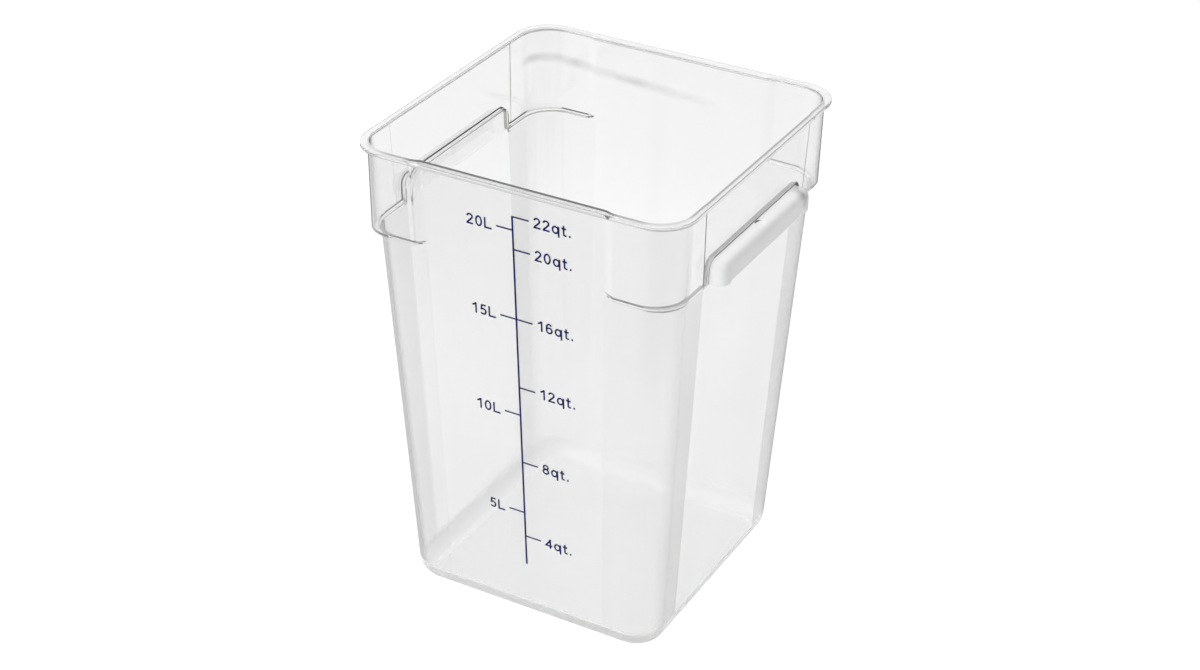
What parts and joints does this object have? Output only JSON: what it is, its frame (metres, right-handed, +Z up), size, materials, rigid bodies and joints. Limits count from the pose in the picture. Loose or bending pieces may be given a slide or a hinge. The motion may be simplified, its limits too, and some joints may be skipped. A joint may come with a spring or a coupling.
{
  "type": "food storage bucket",
  "caption": "Tall square clear food storage bucket with a tapered body, a flanged rim, a printed volume scale and white side grips.",
  "frame": {"origin": "centre of the base's underside, on the surface that the bucket stands on", "axes": "+Z up out of the mouth, +X out of one grip side, -Y out of the graduated front"},
  "size_m": [0.2942, 0.28, 0.4],
  "materials": {
    "clear_body": "clear polycarbonate, glossy band and rim, faintly frosted body",
    "white_grip": "satin milky white"
  },
  "bodies": {
    "root": {"bucket_body": "clear_body", "grip_right": "white_grip", "grip_left": "white_grip"}
  },
  "joints": []
}
